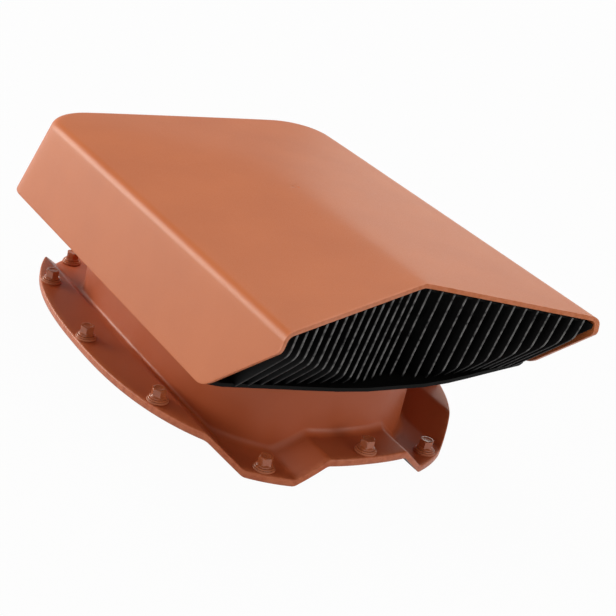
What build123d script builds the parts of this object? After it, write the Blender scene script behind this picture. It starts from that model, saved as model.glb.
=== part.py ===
from build123d import *
import os
from math import cos, radians, sin, tan

# Roof ventilator for a trapezoidal steel roof, in millimetres.
# X runs across the roof ribs, -Y points to the outlet grille, +Z is away from the roof.
# The origin is the middle of the throat, in the plane of the roof sheet's valleys.

# Roof sheet that the flange is moulded to
rib_pitch = 122.7
crest_width = 58.6
valley_width = 27.7
fold_depth = 15.5

# Flange
flange_width = 250.0
flange_length = 354.6
flange_power = 2.42
flange_wall = 2.6
rim_height = 5.1
rim_wall = 3.0

# Collar round the throat
collar_width = 183.0
collar_length = 293.0
collar_power = 2.49
collar_wall = 3.0
collar_rise = 70.0

# Hood
hood_width = 247.8
hood_back = 150.6
hood_draft = 14.5
hood_wall = 3.0
hood_lift = 51.2
hood_height = 72.5
facet_fall = 0.101
hip_start = 5.0
hip_fall = 0.085
corner_radius = 25.0
ridge_radius = 150.0
crease_radius = 7.0
nose_start = -186.5
nose_sweep = 0.345
nose_rake = 16.0
jaw_front = -215.3
jaw_rise = 46.15
jaw_end = -163.0
jaw_radius = 9.0
gate_place = -31.3
gate_radius = 3.0
gate_depth = 0.5

# Grille
slat_pitch = 7.68
slats_per_side = 14
slat_thickness = 1.8
slat_depth = 13.0
slat_front = -185.6
slat_sweep = 0.30
slat_lean = 0.05
bend_height = 0.3
bend_rise = 0.44
tip_front = -186.0
tip_sweep = 0.12
bend_least = 7.0
rail_thickness = 2.5
rail_setback = 1.0
bar_size = 3.0
bar_reach = {42.0: 92.0, 20.0: 44.0}
floor_thickness = 2.5
fit_clearance = 0.4

# Ledge outside the collar and the seal on it; both stop short of the hood's back wall
ledge_width = 10.0
ledge_thickness = 3.0
ledge_gap_width = 150.0
ledge_gap_start = 100.0
collar_seal_thickness = 1.6
collar_seal_width = 3.6
collar_hood_gap = 0.8

# Small screws: down through the grille's floor into the ledge, and up into the hood's posts
ledge_screw_angles = (30.0, 150.0, 210.0, 270.0, 330.0)
ledge_screw_out = 6.4
post_radius = 4.5
post_height = 26.0
post_gap = 2.0
post_places = (-105.0, 80.0)
post_web = 3.0
small_shank_radius = 1.8
small_pilot_radius = 1.9
small_hole_radius = 2.1
small_head_radius = 3.4
small_head_height = 2.4
small_head_round = 0.8
post_screw_depth = 12.0

# Roofing screws with their washers and seals
screw_count = 12
screw_inset = 7.5
screw_shank_radius = 2.4
washer_hole_radius = 2.5
screw_hole_radius = 2.8
hex_across_flats = 8.6
hex_height = 5.0
head_flange_radius = 5.6
head_flange_height = 1.1
washer_radius = 6.6
washer_thickness = 1.0
screw_seal_radius = 7.3
screw_seal_thickness = 1.8

crest_top = fold_depth + rim_height
slope_width = (rib_pitch - crest_width - valley_width) / 2
plate_under = rim_height - flange_wall
hood_bottom = crest_top + hood_lift
ridge_top = hood_bottom + hood_height
draft = radians(hood_draft)
floor_top = hood_bottom + floor_thickness
ledge_top = hood_bottom - collar_seal_thickness
ledge_under = ledge_top - ledge_thickness
head_seat = rim_height + screw_seal_thickness + washer_thickness
far = 400.0
overrun = 5.0


def on_superellipse(half_x, half_y, power, degrees):
    c, s = cos(radians(degrees)), sin(radians(degrees))
    reach = (abs(c) ** power + abs(s) ** power) ** (-1 / power)
    return (half_x * reach * c, half_y * reach * s)


def oval_prism(width, length, power, low, high, points=32):
    """Upright prism on a closed smooth outline that is squarer than an ellipse."""
    step = 360 / points
    outline = [on_superellipse(width / 2, length / 2, power, k * step) for k in range(points)]
    face = make_face(Spline(*outline, periodic=True))
    return extrude(Pos(0, 0, low) * face, amount=high - low)


def flange_prism(inset, low, high):
    return oval_prism(flange_width - 2 * inset, flange_length - 2 * inset, flange_power, low, high)


def collar_prism(inset, low, high):
    return oval_prism(collar_width - 2 * inset, collar_length - 2 * inset, collar_power, low, high)


def tube(x, y, low, high, radius):
    """Upright round bar between two heights."""
    return Pos(x, y, (low + high) / 2) * Cylinder(radius, high - low)


def washer(x, y, low, high, radius, hole):
    return tube(x, y, low, high, radius) - tube(x, y, low - 1, high + 1, hole)


def sheet_height(x):
    """Height of the roof sheet's surface above its valleys."""
    half_crest = crest_width / 2
    x = abs(x)
    if x > rib_pitch / 2:
        x = max(rib_pitch - x, 0)
    if x < half_crest:
        return fold_depth
    if x > half_crest + slope_width:
        return 0.0
    return fold_depth * (1 - (x - half_crest) / slope_width)


def sheet_band(low, high):
    """The space between two heights above the roof sheet, along the whole flange."""
    half_crest = crest_width / 2
    valley = half_crest + slope_width
    folds = [half_crest, valley, valley + valley_width, rib_pitch - half_crest]
    stations = [-flange_width, *(-x for x in reversed(folds)), *folds, flange_width]
    lower = [(x, sheet_height(x) + low) for x in stations]
    upper = [(x, sheet_height(x) + high) for x in stations]
    section = make_face(Polyline(*lower, *reversed(upper), close=True))
    return extrude(Plane.XZ * section, amount=flange_length, both=True)


def roofing_screw_spots():
    """Roofing screws stand evenly in angle round the flange, each on its crest or valley."""
    half_x = flange_width / 2 - screw_inset
    half_y = flange_length / 2 - screw_inset
    step = 360 / screw_count
    spots = [on_superellipse(half_x, half_y, flange_power, k * step) for k in range(screw_count)]
    return [(x, y, sheet_height(x)) for x, y in spots]


def ledge_screw_spots():
    half_x = collar_width / 2 + ledge_screw_out
    half_y = collar_length / 2 + ledge_screw_out
    return [on_superellipse(half_x, half_y, collar_power, a) for a in ledge_screw_angles]


def post_spots():
    x = hood_width / 2 - hood_wall - post_radius - post_gap
    return [(side * x, y) for side in (-1, 1) for y in post_places]


def section_prism(plane, points):
    """Long prism on both sides of a plane, from the outline of its section."""
    return extrude(plane * make_face(Polyline(*points, close=True)), amount=far, both=True)


def edges_near(shape, test):
    found = []
    for edge in shape.edges():
        size = edge.bounding_box().size
        if test(edge.center(), size):
            found.append(edge)
    return found


def hood_form(inset, drop):
    """Solid inside the hood's skin moved in by inset, reaching drop below the hood's edge."""
    shift = inset / cos(draft)
    levels = []
    for z in (hood_bottom - drop, ridge_top + overrun):
        lean = (z - hood_bottom) * tan(draft) + shift
        half = hood_width / 2 - lean
        back = hood_back - lean
        levels.append(Pos(0, (back - far) / 2, z) * Rectangle(2 * half, back + far))
    form = loft(levels, ruled=True)
    form = fillet(edges_near(form, lambda at, size: at.Y > 0 and size.Z > hood_height), corner_radius - inset)
    crown = ridge_top - inset
    low = hood_bottom - drop - 1
    eaves = crown - facet_fall * far
    form &= section_prism(Plane.XZ, [(-far, low), (far, low), (far, eaves), (0, crown), (-far, eaves)])
    hip_front = crown + hip_fall * (far + hip_start)
    hip_back = crown - hip_fall * (far - hip_start)
    form &= section_prism(Plane.YZ, [(-far, low), (far, low), (far, hip_back), (-far, hip_front)])
    high = ridge_top - 40

    def on_ridge(at, size):
        return at.Z > high and size.Y > 80 and (abs(at.X) < 1 or size.X > 60)

    form = fillet(edges_near(form, on_ridge), ridge_radius - inset)
    crease_level = ridge_top - 0.5 * facet_fall * hood_width - inset

    def on_crease(at, size):
        return abs(at.Z - crease_level) < 5 and size.Z < 3 and at.Y > -0.9 * far and size.X + size.Y > 5

    return fillet(edges_near(form, on_crease), crease_radius - inset)


def nose_cut():
    """The space in front of the outlet's swept rim, which leans back downwards."""
    reach = far / 2
    side = nose_start - nose_sweep * reach
    above = 5.0
    lean = radians(nose_rake)
    plan = make_face(Polyline((0, nose_start), (reach, side), (reach, -2 * far), (-reach, -2 * far),
                              (-reach, side), close=True))
    top = Pos(0, -above * tan(lean), ridge_top + above) * plan
    return extrude(top, amount=far, dir=(0, sin(lean), -cos(lean)))


def jaw_cut():
    """The space below the slanted lower edge of the outlet's cheeks, with its rounded heel."""
    slope = jaw_rise / (jaw_front - jaw_end)
    front = hood_bottom + slope * (-far - jaw_end)
    face = make_face(Polyline((-far, front), (jaw_end, hood_bottom), (far, hood_bottom), (far, -far),
                              (-far, -far), close=True))
    heel = face.vertices().sort_by_distance((jaw_end, hood_bottom))[0]
    return extrude(Plane.YZ * fillet(heel, jaw_radius), amount=far, both=True)


def hood():
    shell = hood_form(0, 0) - hood_form(hood_wall, overrun) - nose_cut() - jaw_cut()
    reach = hood_form(hood_wall / 2, 0)
    for x, y in post_spots():
        post = tube(x, y, floor_top, floor_top + post_height, post_radius)
        web_length = 3 * post_radius
        web = Pos(x + (web_length / 2 if x > 0 else -web_length / 2), y, floor_top + post_height / 2)
        shell += (post + web * Box(web_length, post_web, post_height)) & reach
    for x, y in post_spots():
        shell -= tube(x, y, floor_top - 1, floor_top + post_screw_depth + 1, small_pilot_radius)
    return shell - tube(0, gate_place, ridge_top - gate_depth, ridge_top + 5, gate_radius)


def ledge_gap(low, high):
    """Block behind the collar where the hood's back wall leaves no room."""
    return Pos(0, ledge_gap_start + far / 2, (low + high) / 2) * Box(ledge_gap_width, far, high - low)


def roof_flange():
    plate = flange_prism(0, 0, far) & sheet_band(plate_under, rim_height)
    rim = (flange_prism(0, 0, far) - flange_prism(rim_wall, 0, far)) & sheet_band(0, rim_height)
    collar = collar_prism(0, 0, crest_top + collar_rise) - sheet_band(-far, plate_under)
    collar &= hood_form(hood_wall + collar_hood_gap, hood_bottom + overrun)
    ledge = collar_prism(-ledge_width, ledge_under, ledge_top) - ledge_gap(0, far)
    body = plate + rim + collar + ledge
    body -= collar_prism(collar_wall, -1, far)
    for x, y, sheet in roofing_screw_spots():
        body -= tube(x, y, sheet - 1, sheet + rim_height + 1, screw_hole_radius)
    for x, y in ledge_screw_spots():
        body -= tube(x, y, ledge_under - 1, ledge_top + 1, small_pilot_radius)
    return body


def flange_seal():
    """Foam gasket that fills the underside of the flange inside its rim."""
    ring = flange_prism(rim_wall + fit_clearance, 0, far) - collar_prism(collar_wall, 0, far)
    ring &= sheet_band(0, plate_under)
    for x, y, sheet in roofing_screw_spots():
        ring -= tube(x, y, sheet - 1, sheet + rim_height, screw_hole_radius)
    return ring


def collar_seal():
    ring = collar_prism(-collar_seal_width, ledge_top, hood_bottom)
    ring -= collar_prism(-fit_clearance, 0, far)
    return ring - ledge_gap(0, far)


def grille_floor():
    """Plate that closes the hood's underside round the collar and carries the slats."""
    clear = (hood_wall + floor_thickness * sin(draft)) / cos(draft) + fit_clearance
    half = hood_width / 2 - clear
    back = hood_back - clear
    side_slat = slats_per_side * slat_pitch
    tip = tip_front + tip_sweep * side_slat
    outline = make_face(Polyline((0, tip_front), (side_slat, tip), (half, jaw_end), (half, back),
                                 (-half, back), (-half, jaw_end), (-side_slat, tip), close=True))
    outline = fillet(outline.vertices().group_by(Axis.Y)[-1], corner_radius - hood_wall)
    plate = extrude(Pos(0, 0, hood_bottom) * outline, amount=floor_thickness)
    plate -= collar_prism(-fit_clearance, 0, far)
    plate -= ledge_gap(0, far)
    for x, y in ledge_screw_spots() + post_spots():
        plate -= tube(x, y, hood_bottom - 1, floor_top + 1, small_hole_radius)
    return plate


def slat(x):
    """One upright blade: a front edge down to the bend, then a slanted edge back to the floor."""
    out = abs(x)
    top = ridge_top - facet_fall * out
    bend = hood_bottom + max(bend_height + bend_rise * out, 0.0)
    front = slat_front - slat_sweep * out
    lean = slat_lean * (top - bend)
    tip = tip_front + tip_sweep * out
    points = [(front, top), (front + lean, bend)]
    if bend - hood_bottom > bend_least:
        run = tip - front - lean
        fall = bend - hood_bottom
        points += [(tip, hood_bottom), (tip + slat_depth * (run ** 2 + fall ** 2) ** 0.5 / fall, hood_bottom)]
        points.append((front + lean + slat_depth, bend + slat_depth * (((run ** 2 + fall ** 2) ** 0.5 - fall) / run)))
    else:
        points[1] = (front + slat_lean * (top - hood_bottom), hood_bottom)
        points.append((points[1][0] + slat_depth, hood_bottom))
    points.append((front + slat_depth, top))
    blade = make_face(Polyline(*points, close=True))
    return Pos(x, 0, 0) * extrude(Plane.YZ * blade, amount=slat_thickness / 2, both=True)


def swept_strip(start, end, reach, low, high):
    """V-shaped strip that follows the slats' front between two distances behind it."""
    near = slat_front + start
    deep = slat_front + end
    drop = slat_sweep * reach
    plan = make_face(Polyline((0, near), (reach, near - drop), (reach, deep - drop), (0, deep),
                              (-reach, deep - drop), (-reach, near - drop), close=True))
    return extrude(Pos(0, 0, low) * plan, amount=high - low)


def slat_grille():
    under = hood_form(hood_wall + fit_clearance, overrun)
    rail_reach = (slats_per_side + 0.3) * slat_pitch
    rail_end = ridge_top - facet_fall * rail_reach - hood_wall - 2 * rail_thickness
    rail = swept_strip(rail_setback, slat_depth, rail_reach, rail_end, ridge_top) & under
    rail -= hood_form(hood_wall + fit_clearance + rail_thickness, overrun)
    body = grille_floor() + rail
    for height, reach in bar_reach.items():
        level = hood_bottom + height
        body += swept_strip(slat_depth - 2, slat_depth + 1, reach, level - bar_size / 2, level + bar_size / 2)
    for k in range(slats_per_side):
        for side in (-1, 1):
            body += slat(side * (k + 0.5) * slat_pitch) & under
    return body


def pan_screw(x, y, seat, length, up):
    """Small screw with its head's underside at the seat, pointing up or down."""
    turn = Rotation(180, 0, 0) if up else Rotation(0, 0, 0)
    head = Pos(0, 0, small_head_height / 2) * Cylinder(small_head_radius, small_head_height)
    head = fillet(head.edges().sort_by(Axis.Z)[-1], small_head_round)
    shank = Pos(0, 0, -length / 2) * Cylinder(small_shank_radius, length)
    return Pos(x, y, seat) * turn * (head + shank)


def grille_screws():
    length = floor_top - ledge_under
    return Compound([pan_screw(x, y, floor_top, length, False) for x, y in ledge_screw_spots()])


def hood_screws():
    length = floor_thickness + post_screw_depth
    return Compound([pan_screw(x, y, hood_bottom, length, True) for x, y in post_spots()])


def roofing_screw(x, y, sheet):
    seat = sheet + head_seat
    hexagon = extrude(Pos(x, y, seat) * RegularPolygon(hex_across_flats / 2, 6, major_radius=False),
                      amount=hex_height)
    return tube(x, y, seat, seat + head_flange_height, head_flange_radius) + hexagon + tube(
        x, y, sheet, seat, screw_shank_radius)


def roofing_screws():
    return Compound([roofing_screw(*spot) for spot in roofing_screw_spots()])


def screw_washers():
    low = rim_height + screw_seal_thickness
    return Compound([washer(x, y, sheet + low, sheet + head_seat, washer_radius, washer_hole_radius)
                     for x, y, sheet in roofing_screw_spots()])


def screw_seals():
    return Compound([washer(x, y, sheet + rim_height, sheet + rim_height + screw_seal_thickness,
                            screw_seal_radius, washer_hole_radius)
                     for x, y, sheet in roofing_screw_spots()])


nodes = {
    "roof_flange": roof_flange(),
    "flange_seal": flange_seal(),
    "hood": hood(),
    "slat_grille": slat_grille(),
    "collar_seal": collar_seal(),
    "grille_screws": grille_screws(),
    "hood_screws": hood_screws(),
    "roofing_screws": roofing_screws(),
    "screw_washers": screw_washers(),
    "screw_seals": screw_seals(),
}

os.makedirs("parts", exist_ok=True)
for name, shape in nodes.items():
    export_step(shape, f"parts/{name}.step")
    print(name, len(shape.solids()), round(shape.volume), shape.is_valid)
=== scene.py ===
import math

import bmesh
import bpy
from mathutils import Matrix, Vector


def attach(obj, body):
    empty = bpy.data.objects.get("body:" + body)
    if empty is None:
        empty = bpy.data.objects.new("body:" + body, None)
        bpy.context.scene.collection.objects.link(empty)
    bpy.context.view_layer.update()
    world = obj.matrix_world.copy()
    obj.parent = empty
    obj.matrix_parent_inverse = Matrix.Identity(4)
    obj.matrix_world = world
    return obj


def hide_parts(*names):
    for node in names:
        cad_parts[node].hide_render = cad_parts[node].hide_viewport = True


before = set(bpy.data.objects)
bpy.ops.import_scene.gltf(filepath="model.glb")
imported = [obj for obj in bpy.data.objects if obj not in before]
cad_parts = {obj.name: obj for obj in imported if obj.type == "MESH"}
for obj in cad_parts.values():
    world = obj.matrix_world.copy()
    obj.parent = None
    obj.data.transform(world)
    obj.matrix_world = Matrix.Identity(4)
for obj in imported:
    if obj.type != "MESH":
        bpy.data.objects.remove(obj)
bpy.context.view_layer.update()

MM = 0.001

# Sizes in millimetres, in the part's own frame

# The roof sheet's folds, as distance from the middle and height, and how softly they turn
CREST = 15.5
FOLDS = ((29.3, CREST), (47.5, 0.0), (75.2, 0.0), (93.4, CREST))
FOLD_SOFT = 1.3
FOLD_TAPS = (-1.0, -0.5, 0.0, 0.5, 1.0)

# Ovals, as half width, half length and power. The plate's top stands RIM above the sheet, and the collar
# follows the sheet's folds less and less up to COLLAR_STRAIGHT.
FLANGE = (125.0, 177.3, 2.42)
COLLAR = (91.5, 146.5, 2.49)
RIM = 5.1
COLLAR_TOP = 90.6
COLLAR_STRAIGHT = 60.0

# The hood's walls lean by LEAN at the sides and BACK_LEAN behind
HOOD_BOTTOM = 71.8
RIDGE = 143.84
HALF = 123.9
BACK = 157.0
LEAN = math.tan(math.radians(10.0))
BACK_LEAN = 0.315
STEEP = math.cos(math.atan(LEAN))
CORNER = 30.0
TOP_CORNER = 33.0
CREASE = 7.0
CREASE_TURN = math.radians(37.2)
WALL = 3.0

# Its top: the fall of the side facets and of the soft hips, and the ridge's rounding at the outlet and behind
FACET_FALL = 0.0979
HIP_FALL = 0.0838
HIP_START = 2.0
HIP_RISE = 0.35
HIP_BLEND = 1.5
RIDGE_SOFT = (3.0, 16.0)
RIDGE_SOFT_FROM = -190
RIDGE_SOFT_RUN = 200

# The outlet's plane, swept back from the middle and raked, and the side wall's sloping lower edge
NOSE_FRONT = -186.5
NOSE_TOP = 144.3
NOSE_SWEEP = 0.3054
NOSE_RAKE = 0.1
JAW_Y = -163.0
JAW_SLOPE = 0.8836

# The grille
SLATS = 14
SLAT_FRONT = -185.4
SLAT_SIZES = {"Pitch": 7.68, "Sweep": 0.30, "Rake": 0.25, "Bend Rise": 0.511, "Depth": 13.0}
FLOOR_THICK = 2.5


# Small helpers for meshes and pieces

def mix(a, b, t):
    return a + (b - a) * t


def clamp(value, low=0.0, high=1.0):
    return max(low, min(high, value))


def piece(name, points, faces, scale=MM):
    """A mesh object from points, in millimetres unless a scale says otherwise, and faces."""
    mesh = bpy.data.meshes.new(name)
    mesh.from_pydata([tuple(c * scale for c in p) for p in points], [], faces)
    mesh.validate()
    made = bpy.data.objects.new(name, mesh)
    bpy.context.scene.collection.objects.link(made)
    return made


def outward(made):
    """Points every face of a closed mesh outwards."""
    work = bmesh.new()
    work.from_mesh(made.data)
    bmesh.ops.remove_doubles(work, verts=work.verts, dist=1e-6)
    bmesh.ops.recalc_face_normals(work, faces=work.faces)
    work.to_mesh(made.data)
    work.free()
    return made


def smooth(made, degrees=32):
    """Shades a piece smooth and keeps its edges sharper than the angle."""
    for face in made.data.polygons:
        face.use_smooth = True
    limit = math.radians(degrees)
    work = bmesh.new()
    work.from_mesh(made.data)
    for edge in work.edges:
        edge.smooth = not (len(edge.link_faces) == 2 and edge.calc_face_angle(0) > limit)
    work.to_mesh(made.data)
    work.free()
    return made


def applied(made):
    """Turns a piece and its modifiers into a plain mesh."""
    graph = bpy.context.evaluated_depsgraph_get()
    made.data = bpy.data.meshes.new_from_object(made.evaluated_get(graph))
    made.modifiers.clear()
    return made


def fit_out(made, material, nodes=()):
    """Gives a piece its material and slot, and hangs it on the part."""
    if material is not None:
        made.data.materials.clear()
        made.data.materials.append(material)
    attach(made, "root")
    if nodes:
        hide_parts(*nodes)
    return made


def join(target, *others):
    """Adds the meshes of other pieces to a piece."""
    work = bmesh.new()
    work.from_mesh(target.data)
    for other in others:
        work.from_mesh(other.data)
        bpy.data.objects.remove(other)
    work.to_mesh(target.data)
    work.free()
    return target


def strip(rows, closed=True):
    """Faces between rows of equal length, with the points numbered row by row."""
    count = len(rows[0])
    faces = []
    for j in range(len(rows) - 1):
        for i in range(count if closed else count - 1):
            k = (i + 1) % count
            faces.append((j * count + i, j * count + k, (j + 1) * count + k, (j + 1) * count + i))
    return faces


def square_run(points):
    """Faces round a run of sections of four points each, closed at both ends."""
    faces = []
    for a in range(0, len(points) - 4, 4):
        for m in range(4):
            n = (m + 1) % 4
            faces.append((a + m, a + n, a + 4 + n, a + 4 + m))
    end = len(points) - 4
    return faces + [(3, 2, 1, 0), (end, end + 1, end + 2, end + 3)]


def open_ring(name, inner, outer, low, high):
    """A flat ring between two outlines, left open behind where the hood's back wall comes close."""
    steps = len(inner)
    keep = [k for k in range(steps) if not (abs(outer[k][0]) < 75 and outer[k][1] > 100)]
    first = next(k for k in keep if (k - 1) % steps not in keep)
    points = []
    for k in ((first + i) % steps for i in range(len(keep))):
        points += [(*inner[k], low), (*outer[k], low), (*outer[k], high), (*inner[k], high)]
    return outward(piece(name, points, square_run(points)))


def oval_reach(power, turn):
    """How far a squarish oval reaches at a turn, as a share of its half sizes."""
    return (abs(math.cos(turn)) ** power + abs(math.sin(turn)) ** power) ** (-1 / power)


def oval(sizes, inset, steps):
    """Points on a squarish oval moved inwards, with true offsets along its normals."""
    a, b, power = sizes
    points = []
    for k in range(steps):
        turn = 2 * math.pi * k / steps
        reach = oval_reach(power, turn)
        x, y = a * reach * math.cos(turn), b * reach * math.sin(turn)
        nx = math.copysign(abs(x / a) ** (power - 1) / a, x)
        ny = math.copysign(abs(y / b) ** (power - 1) / b, y)
        size = math.hypot(nx, ny)
        points.append((x - inset * nx / size, y - inset * ny / size))
    return points


def sheet(x):
    """Height of the folded roof sheet, with its folds slightly rounded."""
    total = 0.0
    for tap in FOLD_TAPS:
        total += folded(abs(x + tap * FOLD_SOFT))
    return total / len(FOLD_TAPS)


def folded(x):
    """Height of the roof sheet with sharp folds, at a distance from its middle."""
    stations = ((0.0, CREST),) + FOLDS + ((200.0, CREST),)
    for (x0, z0), (x1, z1) in zip(stations, stations[1:]):
        if x <= x1:
            return mix(z0, z1, (x - x0) / (x1 - x0))
    return stations[-1][1]


# Shader parts

def nodes_of(tree):
    return tree.nodes, tree.links


def socket(group, name, kind, way="INPUT", value=None):
    made = group.interface.new_socket(name=name, in_out=way, socket_type=kind)
    if value is not None:
        made.default_value = value
    return made


def moulded_grain_group():
    """Fine spark-eroded grain with faint flow marks: a height, a tone and a gloss mask."""
    group = bpy.data.node_groups.new("moulded grain", "ShaderNodeTree")
    socket(group, "Grain Size", "NodeSocketFloat", value=1900.0)
    socket(group, "Patch Size", "NodeSocketFloat", value=22.0)
    socket(group, "Height", "NodeSocketFloat", "OUTPUT")
    socket(group, "Tone", "NodeSocketFloat", "OUTPUT")
    socket(group, "Gloss", "NodeSocketFloat", "OUTPUT")
    nodes, links = nodes_of(group)
    given = nodes.new("NodeGroupInput")
    out = nodes.new("NodeGroupOutput")
    place = nodes.new("ShaderNodeTexCoord")
    fine = nodes.new("ShaderNodeTexNoise")
    fine.inputs["Detail"].default_value = 3.0
    fine.inputs["Roughness"].default_value = 0.65
    links.new(place.outputs["Object"], fine.inputs["Vector"])
    links.new(given.outputs["Grain Size"], fine.inputs["Scale"])
    pits = nodes.new("ShaderNodeTexVoronoi")
    links.new(place.outputs["Object"], pits.inputs["Vector"])
    links.new(given.outputs["Grain Size"], pits.inputs["Scale"])
    both = nodes.new("ShaderNodeMath")
    both.operation = "MULTIPLY_ADD"
    both.inputs[1].default_value = 0.5
    links.new(pits.outputs["Distance"], both.inputs[0])
    links.new(fine.outputs["Fac"], both.inputs[2])
    links.new(both.outputs[0], out.inputs["Height"])
    patch = nodes.new("ShaderNodeTexNoise")
    patch.inputs["Detail"].default_value = 4.0
    links.new(place.outputs["Object"], patch.inputs["Vector"])
    links.new(given.outputs["Patch Size"], patch.inputs["Scale"])
    tone = nodes.new("ShaderNodeMapRange")
    tone.inputs["From Min"].default_value = 0.3
    tone.inputs["From Max"].default_value = 0.7
    links.new(patch.outputs["Fac"], tone.inputs["Value"])
    links.new(tone.outputs["Result"], out.inputs["Tone"])
    speck = nodes.new("ShaderNodeMapRange")
    speck.inputs["From Min"].default_value = 0.35
    speck.inputs["From Max"].default_value = 0.65
    links.new(fine.outputs["Fac"], speck.inputs["Value"])
    links.new(speck.outputs["Result"], out.inputs["Gloss"])
    return group


def edge_highlight_group():
    """Painted edge highlight: reads the piece's own edge attribute and breaks it up with noise."""
    group = bpy.data.node_groups.new("painted edge highlight", "ShaderNodeTree")
    socket(group, "Break Up", "NodeSocketFloat", value=260.0)
    socket(group, "Mask", "NodeSocketFloat", "OUTPUT")
    nodes, links = nodes_of(group)
    given = nodes.new("NodeGroupInput")
    out = nodes.new("NodeGroupOutput")
    edge = nodes.new("ShaderNodeAttribute")
    edge.attribute_name = "edge"
    place = nodes.new("ShaderNodeTexCoord")
    noise = nodes.new("ShaderNodeTexNoise")
    noise.inputs["Detail"].default_value = 5.0
    links.new(place.outputs["Object"], noise.inputs["Vector"])
    links.new(given.outputs["Break Up"], noise.inputs["Scale"])
    cut = nodes.new("ShaderNodeMapRange")
    cut.inputs["From Min"].default_value = 0.3
    cut.inputs["From Max"].default_value = 0.6
    links.new(noise.outputs["Fac"], cut.inputs["Value"])
    both = nodes.new("ShaderNodeMath")
    both.operation = "MULTIPLY"
    links.new(edge.outputs["Fac"], both.inputs[0])
    links.new(cut.outputs["Result"], both.inputs[1])
    links.new(both.outputs[0], out.inputs["Mask"])
    return group


GRAIN = moulded_grain_group()
EDGE_HIGHLIGHT = edge_highlight_group()


def surface(name, dark, light, rough, grain=1900.0, patch=22.0, bump=0.00004, specular=0.5,
            edge_highlight=None, metallic=0.0, coat=0.0, gloss_swing=0.08):
    """A material of moulded or painted stuff, from its two tones, roughness and grain, with a paler painted
    highlight along marked edges when a highlight colour is given.
    """
    made = bpy.data.materials.new(name)
    made.use_nodes = True
    nodes, links = nodes_of(made.node_tree)
    shader = nodes["Principled BSDF"]
    marks = nodes.new("ShaderNodeGroup")
    marks.node_tree = GRAIN
    marks.inputs["Grain Size"].default_value = grain
    marks.inputs["Patch Size"].default_value = patch
    colour = nodes.new("ShaderNodeMix")
    colour.data_type = "RGBA"
    colour.inputs["A"].default_value = (*dark, 1)
    colour.inputs["B"].default_value = (*light, 1)
    links.new(marks.outputs["Tone"], colour.inputs["Factor"])
    last = colour.outputs["Result"]
    # a paler colour painted along the edges the piece marks: a painted highlight, not wear
    if edge_highlight is not None:
        lit_edge = nodes.new("ShaderNodeGroup")
        lit_edge.node_tree = EDGE_HIGHLIGHT
        edge_lit_colour = nodes.new("ShaderNodeMix")
        edge_lit_colour.data_type = "RGBA"
        edge_lit_colour.inputs["B"].default_value = (*edge_highlight, 1)
        links.new(lit_edge.outputs["Mask"], edge_lit_colour.inputs["Factor"])
        links.new(last, edge_lit_colour.inputs["A"])
        last = edge_lit_colour.outputs["Result"]
    links.new(last, shader.inputs["Base Color"])
    shine = nodes.new("ShaderNodeMapRange")
    shine.inputs["To Min"].default_value = rough - gloss_swing
    shine.inputs["To Max"].default_value = rough + gloss_swing
    links.new(marks.outputs["Gloss"], shine.inputs["Value"])
    links.new(shine.outputs["Result"], shader.inputs["Roughness"])
    bumps = nodes.new("ShaderNodeBump")
    bumps.inputs["Strength"].default_value = 0.6
    bumps.inputs["Distance"].default_value = bump
    links.new(marks.outputs["Height"], bumps.inputs["Height"])
    links.new(bumps.outputs["Normal"], shader.inputs["Normal"])
    shader.inputs["Specular IOR Level"].default_value = specular
    shader.inputs["Metallic"].default_value = metallic
    shader.inputs["Coat Weight"].default_value = coat
    return made


# The edge highlight colours below are painted highlights along the edges a piece marks, not wear
terracotta = surface("moulded terracotta plastic", (0.52, 0.128, 0.030), (0.56, 0.144, 0.036), 0.45,
                     edge_highlight=(0.62, 0.19, 0.08))
# The flange's plastic is a darker, redder copy of the terracotta: painted shade under the hood
shaded_flange_plastic = surface("moulded flange plastic with painted shade", (0.42, 0.084, 0.024), (0.46, 0.098, 0.030), 0.45,
                         edge_highlight=(0.60, 0.17, 0.07))
# the black plastic's grey edge colour is a painted highlight on the slats' front edges
black_plastic = surface("black grille plastic", (0.002, 0.002, 0.0022), (0.003, 0.003, 0.0033), 0.6,
                        edge_highlight=(0.20, 0.20, 0.205), bump=0.00002, specular=0.12)
floor_plastic = surface("grille floor plastic", (0.002, 0.002, 0.002), (0.003, 0.003, 0.003), 0.7,
                        bump=0.00002, specular=0.12)
screw_paint = surface("screw paint", (0.36, 0.088, 0.03), (0.44, 0.11, 0.04), 0.24, grain=2600.0,
                      patch=160.0, bump=0.00003, edge_highlight=(0.5, 0.2, 0.1), coat=0.35)
washer_paint = surface("washer paint", (0.44, 0.12, 0.045), (0.50, 0.14, 0.055), 0.28, grain=2600.0,
                       patch=160.0, bump=0.00003, edge_highlight=(0.62, 0.24, 0.13), coat=0.3)
seal_rubber = surface("sealing rubber", (0.016, 0.015, 0.015), (0.028, 0.026, 0.025), 0.72, grain=1500.0,
                      bump=0.00008)
seal_paint = surface("painted rubber ring", (0.40, 0.11, 0.045), (0.47, 0.14, 0.06), 0.5, grain=1500.0)
foam = surface("closed cell foam", (0.02, 0.02, 0.02), (0.04, 0.04, 0.04), 0.85, grain=900.0, bump=0.0002)
steel = surface("stainless screw steel", (0.55, 0.55, 0.56), (0.66, 0.66, 0.67), 0.3, metallic=1.0)


# Hood

def hood_height(x, y, drop):
    """Height of the hood's top: two facets, with a soft ridge and soft hips behind."""
    soft = mix(*RIDGE_SOFT, clamp((y - RIDGE_SOFT_FROM) / RIDGE_SOFT_RUN))
    side = RIDGE - FACET_FALL * math.hypot(x, soft)
    hip = RIDGE + HIP_RISE - HIP_FALL * (y - HIP_START)
    low = min(side, hip)
    both = math.exp((low - side) / HIP_BLEND) + math.exp((low - hip) / HIP_BLEND)
    return low - HIP_BLEND * math.log(both) - drop


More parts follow.
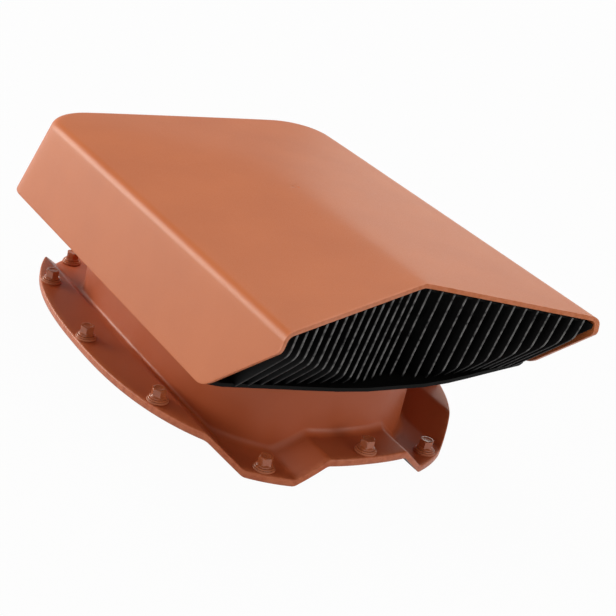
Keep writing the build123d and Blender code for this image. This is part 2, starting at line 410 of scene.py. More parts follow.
def nose(x, z):
    """Where the outlet's swept and raked plane stands, at a distance from the middle and a height."""
    return NOSE_FRONT - NOSE_SWEEP * abs(x) + NOSE_RAKE * (NOSE_TOP - z)


def outlet_height(x, inset):
    """Height of the hood's top near the outlet, where only the distance from the middle changes it."""
    return hood_height(x, -200, inset)


def arc_corner(before, corner, after, radius, steps):
    """Points that round a corner of a plane outline."""
    b = Vector(before) - Vector(corner)
    a = Vector(after) - Vector(corner)
    half = b.angle(a) / 2
    run = radius / math.tan(half)
    p0 = Vector(corner) + b.normalized() * run
    p2 = Vector(corner) + a.normalized() * run
    weight = math.sin(half)
    points = []
    for k in range(steps + 1):
        t = k / steps
        w0, w1, w2 = (1 - t) ** 2, 2 * t * (1 - t) * weight, t * t
        points.append((p0 * w0 + Vector(corner) * w1 + p2 * w2) / (w0 + w1 + w2))
    return points


SIDE_STEPS = 64
ARC_STEPS = 14
BACK_STEPS = 16
CREASE_STEPS = 8


def wall_x(z, inset):
    """How far out a side wall's face stands at a height."""
    return HALF - inset / STEEP - (z - HOOD_BOTTOM) * LEAN


def rear_y(z, inset):
    """How far back the rear wall's face stands at a height."""
    return BACK - inset / STEEP - (z - HOOD_BOTTOM) * BACK_LEAN


def crease_height(inset):
    """Height of the sharp crease between a side wall and its facet."""
    z = 131.0
    for _ in range(12):
        z = outlet_height(wall_x(z, inset), inset)
    return z


def crease_run(inset):
    """How far the crease's arc reaches from the sharp crease along each side."""
    return (CREASE - inset) * math.tan(CREASE_TURN)


def wall_edge(inset):
    """The side wall's lower edge, from the crease at the outlet down, round and back: (y, z) points."""
    high = crease_height(inset) - crease_run(inset) * STEEP
    top = (nose(wall_x(high, inset), high), high)
    # the corner where the outlet's edge meets the jaw's slope, found step by step
    z = 118.0
    for _ in range(20):
        z = HOOD_BOTTOM + JAW_SLOPE * (JAW_Y - nose(wall_x(z, inset), z))
    front = (nose(wall_x(z, inset), z), z)
    heel = (JAW_Y, HOOD_BOTTOM)
    rear = (BACK - inset - CORNER, HOOD_BOTTOM)
    turn = arc_corner(top, front, heel, radius=6.5, steps=6)
    foot = arc_corner(front, heel, rear, radius=20.0, steps=6)
    line = [Vector(top)]
    line += [Vector(top).lerp(turn[0], t / 3) for t in (1, 2)]
    line += turn
    line += [turn[-1].lerp(foot[0], t / 12) for t in range(1, 12)]
    line += foot
    left = SIDE_STEPS + 1 - len(line)
    line += [foot[-1].lerp(Vector(rear), t / left) for t in range(1, left + 1)]
    return line


def crease_share():
    """How far along the crease each column of the side stands, closer together at the outlet."""
    edge = wall_edge(0.0)
    lengths = [0.0]
    for a, b in zip(edge, edge[1:]):
        lengths.append(lengths[-1] + (b - a).length)
    return [v / lengths[-1] for v in lengths]


def hood_rows(inset):
    """Half of a hood skin, as rows that run from the outlet along the side and round to the back's middle."""
    share = crease_share()
    edge = wall_edge(inset)
    radius = TOP_CORNER - inset
    crease_z = crease_height(inset)
    tangent = crease_run(inset)
    dip = tangent * (STEEP - FACET_FALL * math.sin(math.atan(LEAN)))

    def plan(z, inward, r):
        """The outline at a height, moved inwards, with corner radius r: its half width, where the corner
        starts, and the points of the corner and the back."""
        half = wall_x(z, inset) - inward
        back = rear_y(z, inset) - inward
        r = max(r, 0.01)
        corner = [(half - r + r * math.cos(a), back - r + r * math.sin(a))
                  for a in (math.pi / 2 * k / ARC_STEPS for k in range(1, ARC_STEPS + 1))]
        rear = [((half - r) * (1 - k / BACK_STEPS), back) for k in range(1, BACK_STEPS + 1)]
        return half, back - r, corner + rear

    # the crease's arc, from the top of the wall to the facets
    arc = []
    for k in range(CREASE_STEPS + 1):
        t = k / CREASE_STEPS
        w0, w1, w2 = (1 - t) ** 2, 2 * t * (1 - t) * math.cos(CREASE_TURN), t * t
        total = w0 + w1 + w2
        inward = (w2 * tangent * 0.995 - w0 * tangent * math.sin(math.atan(LEAN))) / total
        half, start, rest = plan(crease_z, inward, radius - max(inward, 0) * 0.3)
        front = nose(half, outlet_height(half, inset) - dip * w0 / total)
        row = [(half, mix(front, start, s)) for s in share] + rest
        arc.append([(x, y, hood_height(x, y, inset) - dip * w0 / total) for x, y in row])
    # the wall, from its lower edge up to the crease's arc
    top_row = arc[0]
    low_row = [(wall_x(p[1], inset), p[0], p[1]) for p in edge]
    low_row += [(x, y, HOOD_BOTTOM) for x, y in plan(HOOD_BOTTOM, 0.0, CORNER - inset)[2]]
    low_row[0] = top_row[0]
    rows = [[tuple(mix(a, b, t) for a, b in zip(low, top)) for low, top in zip(low_row, top_row)]
            for t in (0.0, 0.03, 0.2, 0.4, 0.6, 0.8, 0.94)]
    rows += arc
    # rings over the facets to the middle, whose corners grow sharp
    reach = wall_x(crease_z, inset)
    depth = tangent + 3.0
    while depth < reach - 0.5:
        corner = max(radius - depth * 0.45, 3.0) if depth < reach - 8 else 0.0
        half, start, rest = plan(crease_z, depth, corner)
        front = nose(half, outlet_height(half, inset))
        points = [(half, mix(front, start, s)) for s in share] + rest
        rows.append([(x, y, hood_height(x, y, inset)) for x, y in points])
        depth += 4.0 if depth < 30 or depth > reach - 16 else 6.0
    middle = rear_y(crease_z, inset) - reach
    front = nose(0, hood_height(0, -186, inset))
    last = [(0.0, mix(front, middle, s)) for s in share] + [(0.0, middle)] * (ARC_STEPS + BACK_STEPS)
    rows.append([(x, y, hood_height(x, y, inset)) for x, y in last])
    return rows


def hood_mesh():
    """The hood's outer and inner skins, joined at the rim, mirrored and with the rim's edges rounded."""
    outer = hood_rows(0.0)
    inner = hood_rows(WALL)
    count = len(outer[0])
    points, faces = [], []
    for rows, flip in ((outer, False), (inner, True)):
        base = len(points)
        for row in rows:
            points += [tuple(p) for p in row]
        for f in strip(rows, closed=False):
            faces.append(tuple(base + k for k in (reversed(f) if flip else f)))
    levels = len(outer)
    shift = levels * count
    # the rim's flat edge joins the skins along the outlet and the lower edge
    for i in range(count - 1):
        faces.append((i, shift + i, shift + i + 1, i + 1))
    for j in range(levels - 1):
        faces.append((j * count, (j + 1) * count, shift + (j + 1) * count, shift + j * count))
    # the other half
    total = len(points)
    points += [(-x, y, z) for x, y, z in points]
    faces += [tuple(total + k for k in reversed(f)) for f in faces]
    made = piece("hood_shell", points, faces)
    work = bmesh.new()
    work.from_mesh(made.data)
    bmesh.ops.remove_doubles(work, verts=work.verts, dist=2e-6)
    bmesh.ops.dissolve_degenerate(work, edges=work.edges, dist=1e-6)
    bmesh.ops.recalc_face_normals(work, faces=work.faces)
    limit = math.radians(50)
    weight = work.edges.layers.float.new("bevel_weight_edge")
    for edge in work.edges:
        if len(edge.link_faces) == 2 and edge.calc_face_angle(0) > limit:
            edge[weight] = 1.0
    work.to_mesh(made.data)
    work.free()
    bevel = made.modifiers.new("rim", "BEVEL")
    bevel.limit_method = "WEIGHT"
    bevel.width = 0.0006
    bevel.segments = 3
    bevel.use_clamp_overlap = True
    return gate_mark(applied(made))


def gate_mark(made):
    """Sinks a shallow round gate mark into the ridge."""
    y, radius, deep = -31.3, 3.0, 0.5
    top = hood_height(0, y, 0) + 0.05
    rings = ((radius * 0.8, top - deep), (radius, top - 0.05), (radius + 0.3, top + 1.0))
    rows = [[(r * math.cos(a), y + r * math.sin(a), z) for a in (math.pi / 16 * k for k in range(32))]
            for r, z in rings]
    caps = [tuple(reversed(range(32))), tuple(range(64, 96))]
    cutter = outward(piece("cutter", [p for row in rows for p in row], strip(rows) + caps))
    cut = made.modifiers.new("gate", "BOOLEAN")
    cut.operation = "DIFFERENCE"
    cut.solver = "EXACT"
    cut.object = cutter
    applied(made)
    bpy.data.objects.remove(cutter)
    return made


def paint_edge_highlight(made, test):
    """Stores how near each point is to an exposed edge, for the painted edge highlight."""
    store = made.data.attributes.new("edge", "FLOAT", "POINT")
    for k, vert in enumerate(made.data.vertices):
        store.data[k].value = test(vert.co / MM)


def post(x, y):
    """A screw post that hangs inside the hood, down to the grille's floor."""
    radius, foot, top = 4.2, 74.6, 94.0
    low = [(x + radius * math.cos(a), y + radius * math.sin(a), foot)
           for a in (math.pi / 8 * k for k in range(16))]
    high = [(px, py, top) for px, py, _ in low]
    caps = [tuple(reversed(range(16))), tuple(range(16, 32))]
    return outward(piece("post", low + high, strip([low, high]) + caps))


def near_outlet(p):
    """From 1 on the outlet's rim to 0 a little way in from it."""
    return clamp(1 - abs(p.y - nose(p.x, p.z)) / 2.2)


POST_X, POST_FRONT, POST_BACK = 114.4, -105.0, 80.0
hood = join(hood_mesh(), *[post(x, y) for x in (-POST_X, POST_X) for y in (POST_FRONT, POST_BACK)])
# the outlet's rim is painted paler: a painted highlight where the rounded rim catches the light
paint_edge_highlight(hood, near_outlet)
smooth(hood, 38)
fit_out(hood, terracotta, ["hood"])


# Flange with its collar

def flange_mesh():
    """One closed skin: the rim, the plate, the collar's foot, outside, top and inside, and the underside."""
    steps = 288
    thick, lip, foot, chamfer, under = 3.0, 1.2, 5.0, 0.6, 2.5
    rows = []

    def ring(outline, inset, z):
        rows.append([(x, y, z) for x, y in oval(outline, inset, steps)])

    def between(t):
        outer = oval(FLANGE, lip, steps)
        inner = oval(COLLAR, -foot, steps)
        rows.append([(mix(a[0], b[0], t), mix(a[1], b[1], t), RIM) for a, b in zip(outer, inner)])

    ring(FLANGE, 0.4, 0.0)
    ring(FLANGE, 0.0, 0.5)
    ring(FLANGE, 0.0, RIM - lip)
    for k in range(1, 5):
        a = math.pi / 2 * k / 4
        ring(FLANGE, lip - lip * math.cos(a), RIM - lip + lip * math.sin(a))
    for k in range(1, 7):
        between(k / 7)
    for k in range(9):
        a = math.pi / 2 * k / 8
        ring(COLLAR, -foot + foot * math.sin(a), RIM + foot - foot * math.cos(a))
    ring(COLLAR, 0.0, COLLAR_STRAIGHT)
    ring(COLLAR, 0.0, COLLAR_TOP - chamfer)
    ring(COLLAR, chamfer, COLLAR_TOP)
    ring(COLLAR, thick - chamfer, COLLAR_TOP)
    ring(COLLAR, thick, COLLAR_TOP - chamfer)
    ring(COLLAR, thick, COLLAR_STRAIGHT)
    ring(COLLAR, thick, under)
    ring(FLANGE, thick, under)
    ring(FLANGE, thick, 0.5)
    ring(FLANGE, thick - 0.4, 0.0)
    rows.append(rows[0])
    points = [p for row in rows for p in row]
    made = piece("flange_moulding", points, strip(rows))
    work = bmesh.new()
    work.from_mesh(made.data)
    bmesh.ops.remove_doubles(work, verts=work.verts, dist=1e-6)
    for fold, _ in FOLDS:
        for side in (-1, 1):
            for tap in FOLD_TAPS:
                at = side * (fold + tap * FOLD_SOFT) * MM
                bmesh.ops.bisect_plane(work, geom=work.verts[:] + work.edges[:] + work.faces[:], dist=1e-7,
                                       plane_co=(at, 0, 0), plane_no=(1, 0, 0))
    # the plate and the collar's foot follow the sheet's folds, which fade out up the collar
    for vert in work.verts:
        x, y, z = vert.co / MM
        hang = clamp((COLLAR_STRAIGHT - z) / 45.0) if z > 15.0 else 1.0
        vert.co = Vector((x, y, z + sheet(x) * hang)) * MM
    bmesh.ops.recalc_face_normals(work, faces=work.faces)
    work.to_mesh(made.data)
    work.free()
    return made


def ledge_mesh():
    """The ledge outside the collar, under the grille's floor."""
    steps = 240
    return open_ring("collar_ledge", oval(COLLAR, 0.5, steps), oval(COLLAR, -10.0, steps), 67.2, 70.2)


flange = join(flange_mesh(), ledge_mesh())


def flange_edge(p):
    """How near a point is to the flange's rim."""
    a, b, power = FLANGE
    size = (abs(p.x / a) ** power + abs(p.y / b) ** power) ** (1 / power)
    return clamp((size - 0.985) / 0.012) * 0.8


# the flange's rim is painted paler: a painted highlight on its lit outer face
paint_edge_highlight(flange, flange_edge)
smooth(flange, 40)
fit_out(flange, shaded_flange_plastic, ["roof_flange"])


# Grille

def geometry_tree(name):
    tree = bpy.data.node_groups.new(name, "GeometryNodeTree")
    socket(tree, "Geometry", "NodeSocketGeometry")
    socket(tree, "Geometry", "NodeSocketGeometry", "OUTPUT")
    return tree


class Maths:
    """Writes sums as nodes: each method returns the output of a new node."""

    def __init__(self, tree):
        self.tree = tree

    def do(self, operation, *terms):
        node = self.tree.nodes.new("ShaderNodeMath")
        node.operation = operation
        for k, term in enumerate(terms):
            if isinstance(term, (int, float)):
                node.inputs[k].default_value = term
            else:
                self.tree.links.new(term, node.inputs[k])
        return node.outputs[0]

    def add(self, a, b):
        return self.do("ADD", a, b)

    def sub(self, a, b):
        return self.do("SUBTRACT", a, b)

    def mul(self, a, b):
        return self.do("MULTIPLY", a, b)

    def mix(self, a, b, t):
        return self.add(a, self.mul(self.sub(b, a), t))


def slat_tree():
    """Sets a blank blade at every pitch and bends each to its own front, bend and tip."""
    tree = geometry_tree("swept slats")
    for name, value in SLAT_SIZES.items():
        socket(tree, name, "NodeSocketFloat", value=value)
    socket(tree, "Slats Per Side", "NodeSocketInt", value=SLATS)
    socket(tree, "Blade", "NodeSocketObject")
    socket(tree, "Material", "NodeSocketMaterial")
    nodes, links = nodes_of(tree)
    given = nodes.new("NodeGroupInput")
    out = nodes.new("NodeGroupOutput")
    m = Maths(tree)
    g = given.outputs
    line = nodes.new("GeometryNodeMeshLine")
    line.mode = "OFFSET"
    links.new(m.mul(g["Slats Per Side"], 2), line.inputs["Count"])
    first = nodes.new("ShaderNodeCombineXYZ")
    links.new(m.mul(m.mul(m.sub(m.mul(g["Slats Per Side"], 2), 1), -0.5), g["Pitch"]), first.inputs["X"])
    links.new(first.outputs[0], line.inputs["Start Location"])
    step = nodes.new("ShaderNodeCombineXYZ")
    links.new(g["Pitch"], step.inputs["X"])
    links.new(step.outputs[0], line.inputs["Offset"])
    keep = nodes.new("GeometryNodeStoreNamedAttribute")
    keep.data_type = "FLOAT"
    keep.domain = "POINT"
    keep.inputs["Name"].default_value = "out"
    where = nodes.new("GeometryNodeInputPosition")
    split = nodes.new("ShaderNodeSeparateXYZ")
    links.new(where.outputs[0], split.inputs[0])
    links.new(line.outputs["Mesh"], keep.inputs["Geometry"])
    links.new(m.do("ABSOLUTE", split.outputs["X"]), keep.inputs["Value"])
    blade = nodes.new("GeometryNodeObjectInfo")
    links.new(g["Blade"], blade.inputs["Object"])
    put = nodes.new("GeometryNodeInstanceOnPoints")
    links.new(keep.outputs["Geometry"], put.inputs["Points"])
    links.new(blade.outputs["Geometry"], put.inputs["Instance"])
    real = nodes.new("GeometryNodeRealizeInstances")
    links.new(put.outputs["Instances"], real.inputs["Geometry"])
    # a blade's own Y runs from 0 at the top to 2 at the tip, its Z from 0 at the front to 1 at the back
    spot = nodes.new("GeometryNodeInputPosition")
    blank = nodes.new("ShaderNodeSeparateXYZ")
    links.new(spot.outputs[0], blank.inputs[0])
    named = nodes.new("GeometryNodeInputNamedAttribute")
    named.data_type = "FLOAT"
    named.inputs["Name"].default_value = "out"
    out_x = named.outputs["Attribute"]
    along, deep = blank.outputs["Y"], blank.outputs["Z"]
    top_z = m.sub(RIDGE - WALL - 0.9, m.mul(out_x, FACET_FALL))
    top_y = m.sub(SLAT_FRONT, m.mul(out_x, g["Sweep"]))
    # the bend is lowest in the middle, where it would be under the floor, so it stops above the tip
    tip_z = HOOD_BOTTOM + 1.0
    middle_bend_z, tip_run = 62.2, 1.06
    bend_z = m.do("MAXIMUM", m.add(middle_bend_z, m.mul(out_x, g["Bend Rise"])), tip_z + 0.4)
    bend_y = m.add(top_y, m.mul(m.sub(top_z, bend_z), g["Rake"]))
    tip_y = m.add(bend_y, m.mul(m.sub(bend_z, tip_z), tip_run))
    # the blade's back edge, bent higher and longer so that the blade keeps its depth
    depth, back_rise, back_run = g["Depth"], 0.398, 1.376
    back_top_y = m.add(top_y, depth)
    back_bend_y = m.add(bend_y, depth)
    back_bend_z = m.add(bend_z, m.mul(depth, back_rise))
    back_tip_y = m.add(tip_y, m.mul(depth, back_run))
    s = m.sub(along, 1.0)
    # a soft corner at the bend: above runs 1 to 0 from top to bend, then below runs 0 to 1 from bend to tip
    soft = m.do("SQRT", m.add(m.mul(s, s), 0.012))
    below = m.mul(m.add(s, soft), 0.5)
    above = m.mul(m.sub(soft, s), 0.5)

    def path(top, bend, tip):
        return m.add(bend, m.add(m.mul(m.sub(top, bend), above), m.mul(m.sub(tip, bend), below)))

    front_y = path(top_y, bend_y, tip_y)
    front_z = path(top_z, bend_z, tip_z)
    back_y = path(back_top_y, back_bend_y, back_tip_y)
    back_z = path(top_z, back_bend_z, tip_z)
    joined = nodes.new("ShaderNodeCombineXYZ")
    links.new(blank.outputs["X"], joined.inputs["X"])
    links.new(m.mix(front_y, back_y, deep), joined.inputs["Y"])
    links.new(m.mix(front_z, back_z, deep), joined.inputs["Z"])
    metres = nodes.new("ShaderNodeVectorMath")
    metres.operation = "SCALE"
    metres.inputs["Scale"].default_value = MM
    links.new(joined.outputs[0], metres.inputs[0])
    lit_edge = nodes.new("GeometryNodeStoreNamedAttribute")
    lit_edge.data_type = "FLOAT"
    lit_edge.domain = "POINT"
    lit_edge.inputs["Name"].default_value = "edge"
    links.new(real.outputs["Geometry"], lit_edge.inputs["Geometry"])
    # the front edge gets a pale painted highlight above the bend and only a little below it
    on_front = m.do("LESS_THAN", deep, 0.03)
    below_bend = m.do("GREATER_THAN", along, 1.04)
    links.new(m.mul(on_front, m.sub(1.0, m.mul(below_bend, 0.85))), lit_edge.inputs["Value"])
    bend = nodes.new("GeometryNodeSetPosition")
    links.new(lit_edge.outputs["Geometry"], bend.inputs["Geometry"])
    links.new(metres.outputs[0], bend.inputs["Position"])
    dress = nodes.new("GeometryNodeSetMaterial")
    links.new(bend.outputs["Geometry"], dress.inputs["Geometry"])
    links.new(g["Material"], dress.inputs["Material"])
    links.new(dress.outputs["Geometry"], out.inputs["Geometry"])
    return tree


def blank_blade():
    """A straight blade: X is its thickness in millimetres, Y and Z are shares of its length and depth."""
    # closer together at the bend, which is at 1
    stations = [0.0, 0.25, 0.5, 0.7, 0.8, 0.86, 0.92, 0.97, 1.0, 1.03, 1.08, 1.14, 1.2, 1.3, 1.5, 1.75, 2.0]
    # the front edge is rounded over the blade's thickness
    section = [(-0.75, 1.0), (-0.75, 0.04), (-0.6, 0.012), (-0.35, 0.0), (0.35, 0.0), (0.6, 0.012),
               (0.75, 0.04), (0.75, 1.0)]
    rows = [[(x, y, z) for x, z in section] for y in stations]
    points = [p for row in rows for p in row]
    count = len(section)
    faces = strip(rows)
    faces += [tuple(range(count)), tuple(reversed(range(len(points) - count, len(points))))]
    made = piece("blank_blade", points, faces, scale=1.0)
    return outward(made)


def socket_of(tree, name):
    """The identifier of a tree's named input."""
    return next(item.identifier for item in tree.interface.items_tree
                if item.name == name and item.in_out == "INPUT")


def grown(name, start, tree, values):
    """Runs a node tree on a starting mesh and keeps the result as a plain mesh."""
    carrier = bpy.data.objects.new(name, start)
    bpy.context.scene.collection.objects.link(carrier)
    run = carrier.modifiers.new("grow", "NODES")
    run.node_group = tree
    for key, value in values.items():
        run[socket_of(tree, key)] = value
    return applied(carrier)


blade = blank_blade()
slats = grown("outlet_slats", bpy.data.meshes.new("outlet_slats"), slat_tree(),
              {**SLAT_SIZES, "Slats Per Side": SLATS, "Blade": blade, "Material": black_plastic})
bpy.data.objects.remove(blade)
outward(slats)
smooth(slats, 45)


def floor_outline():
    """Outer edge of the grille's floor, as points seen from the middle."""
    # in from the hood's outside: its wall, the wall's lean over the floor's thickness, and a gap
    across, lean, gap = 3.1, 0.65, 0.4
    clear = across + lean + gap
    half, back, r = HALF - clear, BACK - clear, 27.0
    line = [(0, -183.5), (21, -183.5), (41, -181.0), (58, -177.5), (80, -172.5), (98, -168.5),
            (112, -165.5), (half, -161.0), (half, back - r)]
    line += [(half - r + r * math.cos(a), back - r + r * math.sin(a))
             for a in (math.pi / 2 * k / 8 for k in range(1, 9))]
    line.append((0, back))
    return line + [(-x, y) for x, y in reversed(line[1:-1])]


def ray_hit(direction, outline):
    """Where a line from the middle leaves an outline."""
    best = 0.0
    dx, dy = direction
    for (x0, y0), (x1, y1) in zip(outline, outline[1:] + outline[:1]):
        ex, ey = x1 - x0, y1 - y0
        cross = dx * ey - dy * ex
        if abs(cross) < 1e-9:
            continue
        t = (x0 * ey - y0 * ex) / cross
        u = (x0 * dy - y0 * dx) / cross
        if t > 0 and -1e-6 <= u <= 1 + 1e-6:
            best = max(best, t)
    return dx * best, dy * best


def grille_floor():
    """The floor that closes the hood's underside round the collar."""
    hole = oval(COLLAR, -0.4, 360)
    outline = floor_outline()
    rim = [ray_hit(p, outline) for p in hole]
    return open_ring("grille_floor", hole, rim, HOOD_BOTTOM, HOOD_BOTTOM + FLOOR_THICK)


def swept_bar(name, reach, low, high, near, deep, follow=False):
    """A bar that follows the slats' sweep, level or under the hood's facets."""
    points = []
    count = 40
    for k in range(count + 1):
        x = mix(-reach, reach, k / count)
        y = SLAT_FRONT - SLAT_SIZES["Sweep"] * abs(x)
        roof = RIDGE - WALL - 0.7 - FACET_FALL * math.hypot(x, 3.0) if follow else 0
        points += [(x, y + near, roof + low), (x, y + deep, roof + low), (x, y + deep, roof + high),
                   (x, y + near, roof + high)]
    return outward(piece(name, points, square_run(points)))


def side_frame(side):
    """A thin upright at each end of the grille, along the inside of the hood's side wall."""
    thick, deep, clear = 1.5, 13.0, 3.4
    path = [(-217.4, 127.5), (-217.3, 125.6), (-216.6, 123.8), (-213.5, 121.1), (-196.0, 105.6),
            (-178.0, 89.7), (-161.0, 74.2)]
    points = []
    for y, z in path:
        for dy, dx in ((0.0, 0.0), (0.0, thick), (deep, thick), (deep, 0.0)):
            points.append((side * (wall_x(z, clear) - dx), y + dy, z))
    made = outward(piece("side_frame", points, square_run(points)))
    # marks the front edges for a painted highlight, which the grille's floor plastic leaves undrawn
    paint_edge_highlight(made, lambda p: 0.7 if min(abs(p.y - y) + abs(p.z - z) for y, z in path) < 0.1 else 0.0)
    return made


grille = join(grille_floor(),
              swept_bar("rail", 103.6, -2.4, 0.0, 4.0, 13.0, follow=True),
              swept_bar("upper_bar", 91.0, HOOD_BOTTOM + 40.5, HOOD_BOTTOM + 43.5, 18.5, 21.5),
              swept_bar("lower_bar", 44.0, HOOD_BOTTOM + 18.5, HOOD_BOTTOM + 21.5, 24.5, 27.5),
              side_frame(-1), side_frame(1))
smooth(grille, 30)
fit_out(grille, floor_plastic, ["slat_grille"])
fit_out(slats, None)


# Roofing screws

def hexagon(turn, flats):
    """How far a hexagon reaches at a turn, from its size across flats."""
    sixth = math.pi / 3
    a = (turn % sixth) - sixth / 2
    return flats / 2 / math.cos(a)


def lathe(name, profile, steps=48):
    """A closed turned piece, from steps of (radius, height) or (radius, height, across flats)."""
    rows = []
    for step in profile:
        row = []
        for k in range(steps):
            turn = 2 * math.pi * k / steps
            radius = step[0]
            if len(step) > 2:
                radius = min(step[0], hexagon(turn, step[2]))
            row.append((radius * math.cos(turn), radius * math.sin(turn), step[1]))
        rows.append(row)
    points = [p for row in rows for p in row]
    faces = strip(rows)
    if profile[0] != profile[-1]:
        faces += [tuple(reversed(range(steps))), tuple(range(len(points) - steps, len(points)))]
    return outward(piece(name, points, faces))


def screw_blank():
    """Shank end, flange and hexagon head with a shallow dish in its top."""
    flats = 8.6
    wide = 20.0
    return lathe("screw_blank", [
        (2.4, -2.8), (2.4, 0.0), (5.3, 0.0), (5.6, 0.2), (5.6, 0.75), (5.35, 1.05), (4.95, 1.3),
        (wide, 1.75, flats), (wide, 1.9, flats), (wide, 5.75, flats), (4.75, 6.02, flats),
        (4.35, 6.32, flats), (4.1, 6.4, flats), (3.3, 6.4), (3.05, 6.25), (2.2, 6.15), (0.6, 6.12)])


def washer_blank():
    return lathe("washer_blank", [
        (2.5, 0.0), (6.3, 0.0), (6.6, 0.2), (6.6, 0.6), (6.35, 0.86), (5.4, 0.99), (2.5, 1.0), (2.5, 0.0)])


def ring_blank():
    return lathe("ring_blank", [
        (2.5, 0.0), (6.7, 0.0), (7.15, 0.35), (7.3, 0.85), (7.2, 1.35), (6.9, 1.68), (6.4, 1.8), (2.5, 1.8),
        (2.5, 0.0)])


TURN_SEED = 4


def screw_tree():
    """Sets a turned piece on every screw spot, each turned by chance."""
    tree = geometry_tree("pieces on spots")
    socket(tree, "Piece", "NodeSocketObject")
    socket(tree, "Seat Height", "NodeSocketFloat", value=0.0)
    socket(tree, "Turn Seed", "NodeSocketInt", value=TURN_SEED)
    socket(tree, "Material", "NodeSocketMaterial")
    nodes, links = nodes_of(tree)
    given = nodes.new("NodeGroupInput")
    out = nodes.new("NodeGroupOutput")
    item = nodes.new("GeometryNodeObjectInfo")
    links.new(given.outputs["Piece"], item.inputs["Object"])
    lift = nodes.new("GeometryNodeSetPosition")
    up = nodes.new("ShaderNodeCombineXYZ")
    links.new(given.outputs["Seat Height"], up.inputs["Z"])
    links.new(given.outputs["Geometry"], lift.inputs["Geometry"])
    links.new(up.outputs[0], lift.inputs["Offset"])
    put = nodes.new("GeometryNodeInstanceOnPoints")
    links.new(lift.outputs["Geometry"], put.inputs["Points"])
    links.new(item.outputs["Geometry"], put.inputs["Instance"])
    chance = nodes.new("FunctionNodeRandomValue")
    chance.data_type = "FLOAT"
    # for a float, input 3 is the largest value and output 1 the result
    chance.inputs[3].default_value = 6.283
    links.new(given.outputs["Turn Seed"], chance.inputs["Seed"])
    turn = nodes.new("ShaderNodeCombineXYZ")
    links.new(chance.outputs[1], turn.inputs["Z"])
    links.new(turn.outputs[0], put.inputs["Rotation"])
    real = nodes.new("GeometryNodeRealizeInstances")
    links.new(put.outputs["Instances"], real.inputs["Geometry"])
    dress = nodes.new("GeometryNodeSetMaterial")
    links.new(real.outputs["Geometry"], dress.inputs["Geometry"])
    links.new(given.outputs["Material"], dress.inputs["Material"])
    links.new(dress.outputs["Geometry"], out.inputs["Geometry"])
    return tree


def screw_spots():
    """Twelve spots round the flange, a little way in from its rim, at the sheet's height."""
    a, b, power = FLANGE
    inset = 7.5
    spots = []
    for k in range(12):
        turn = math.radians(30 * k)
        reach = oval_reach(power, turn)
        x, y = (a - inset) * reach * math.cos(turn), (b - inset) * reach * math.sin(turn)
        spots.append((x, y, folded(abs(x))))
    return spots


def on_spots(name, blank, height, material, node):
    """Puts a blank on every screw spot, at a height above the plate, and has it stand for a node."""
    start = bpy.data.meshes.new(name)
    start.from_pydata([tuple(c * MM for c in p) for p in screw_spots()], [], [])
    made = grown(name, start, SCREW_TREE, {"Piece": blank, "Seat Height": (RIM + height) * MM,
                                           "Turn Seed": TURN_SEED, "Material": material})
    bpy.data.objects.remove(blank)
    smooth(made, 28)
    return fit_out(made, material, [node])


SCREW_TREE = screw_tree()
on_spots("roofing_screw_set", screw_blank(), 2.8, screw_paint, "roofing_screws")
on_spots("washer_set", washer_blank(), 1.8, washer_paint, "screw_washers")
on_spots("ring_set", ring_blank(), 0.0, seal_paint, "screw_seals")


# Nodes that stay as the CAD made them

for name, material in (("flange_seal", foam), ("collar_seal", seal_rubber), ("grille_screws", steel),
                       ("hood_screws", steel)):
    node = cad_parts[name]
    node.data.materials.clear()
    node.data.materials.append(material)


# Camera, floor and light

def stand_camera():
    """The view of the photograph, with a focal length of 1500 pixels in a picture 616 wide."""
    data = bpy.data.cameras.new("camera")
    data.sensor_width = 36.0
    data.lens = 36.0 * 1500 / 616
    made = bpy.data.objects.new("camera", data)
    bpy.context.scene.collection.objects.link(made)
    right = Vector((0.8400, -0.5007, 0.2091)).normalized()
    back = Vector((-0.5416, -0.7495, 0.3807)).normalized()
    up = back.cross(right).normalized()
    right = up.cross(back).normalized()
    turn = Matrix((right, up, back)).transposed().to_4x4()
    made.matrix_world = Matrix.Translation((-0.53397, -0.81493, 0.45008)) @ turn
    bpy.context.scene.camera = made


def pale_floor():
    """A floor that looks white to the camera and in reflections, but lights the part only as pale grey."""
    reach, z = 6, -0.0002
    made = piece("floor", [(-reach, -reach, z), (reach, -reach, z), (reach, reach, z), (-reach, reach, z)],
                 [(0, 1, 2, 3)], scale=1.0)
    paper = bpy.data.materials.new("white floor")
    paper.use_nodes = True
    nodes, links = nodes_of(paper.node_tree)
    shader = nodes["Principled BSDF"]
    shader.inputs["Base Color"].default_value = (0.4, 0.4, 0.4, 1)
    shader.inputs["Roughness"].default_value = 0.9
    glow = nodes.new("ShaderNodeEmission")
    seen = nodes.new("ShaderNodeLightPath")
    either = nodes.new("ShaderNodeMath")
    either.operation = "MAXIMUM"
    links.new(seen.outputs["Is Camera Ray"], either.inputs[0])
    links.new(seen.outputs["Is Glossy Ray"], either.inputs[1])
    share = nodes.new("ShaderNodeMath")
    share.operation = "MULTIPLY"
    share.inputs[1].default_value = 0.97
    links.new(either.outputs[0], share.inputs[0])
    blend = nodes.new("ShaderNodeMixShader")
    links.new(share.outputs[0], blend.inputs[0])
    links.new(shader.outputs[0], blend.inputs[1])
    links.new(glow.outputs[0], blend.inputs[2])
    links.new(blend.outputs[0], nodes["Material Output"].inputs["Surface"])
    made.data.materials.append(paper)


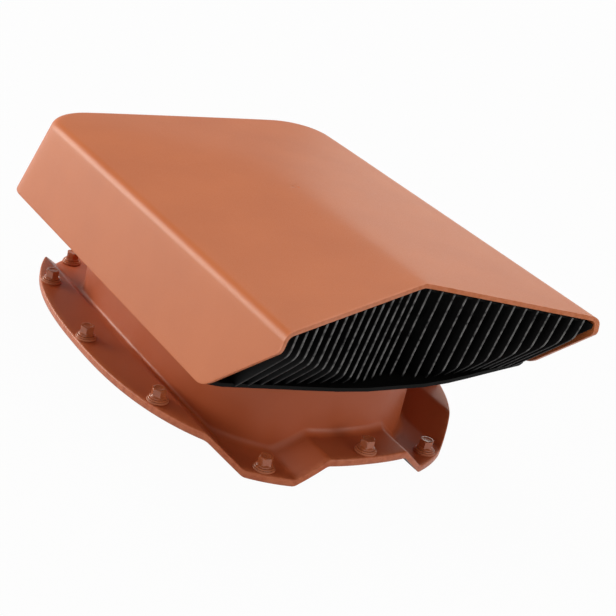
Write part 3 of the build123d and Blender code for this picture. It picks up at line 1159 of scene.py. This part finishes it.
def soft_light(name, place, size, power):
    """A square, slightly warm light that faces the part."""
    data = bpy.data.lights.new(name, "AREA")
    data.shape = "SQUARE"
    data.size = size
    data.energy = power
    data.color = (1.0, 0.955, 0.86)
    made = bpy.data.objects.new(name, data)
    bpy.context.scene.collection.objects.link(made)
    made.location = place
    made.rotation_euler = (Vector((0, 0, 0.07)) - Vector(place)).to_track_quat("-Z", "Y").to_euler()


def studio():
    """A soft world, white only to the camera, and five lights."""
    world = bpy.data.worlds.new("studio")
    bpy.context.scene.world = world
    world.use_nodes = True
    nodes, links = nodes_of(world.node_tree)
    back = nodes["Background"]
    back.inputs["Color"].default_value = (1, 1, 1, 1)
    # brighter towards the horizon than overhead
    place = nodes.new("ShaderNodeTexCoord")
    axes = nodes.new("ShaderNodeSeparateXYZ")
    links.new(place.outputs["Generated"], axes.inputs[0])
    fade = nodes.new("ShaderNodeMapRange")
    fade.interpolation_type = "SMOOTHSTEP"
    fade.inputs["From Min"].default_value = 0.12
    fade.inputs["From Max"].default_value = 0.5
    fade.inputs["To Min"].default_value = 0.56
    fade.inputs["To Max"].default_value = 0.27
    links.new(axes.outputs["Z"], fade.inputs["Value"])
    links.new(fade.outputs["Result"], back.inputs["Strength"])
    bright = nodes.new("ShaderNodeBackground")
    bright.inputs["Strength"].default_value = 1.0
    seen = nodes.new("ShaderNodeLightPath")
    blend = nodes.new("ShaderNodeMixShader")
    links.new(seen.outputs["Is Camera Ray"], blend.inputs[0])
    links.new(back.outputs[0], blend.inputs[1])
    links.new(bright.outputs[0], blend.inputs[2])
    links.new(blend.outputs[0], nodes["World Output"].inputs["Surface"])
    soft_light("left", (-2.0, -0.6, 0.5), 1.7, 8)
    soft_light("overhead", (0.6, 0.8, 2.4), 1.4, 32)
    soft_light("rear left", (-1.5, 1.9, 0.4), 1.6, 58)
    soft_light("rear right", (1.75, 1.5, 0.42), 1.0, 5)
    soft_light("front", (0.6, -2.1, 0.4), 1.2, 14)


stand_camera()
pale_floor()
studio()
bpy.context.scene.view_settings.view_transform = "Standard"
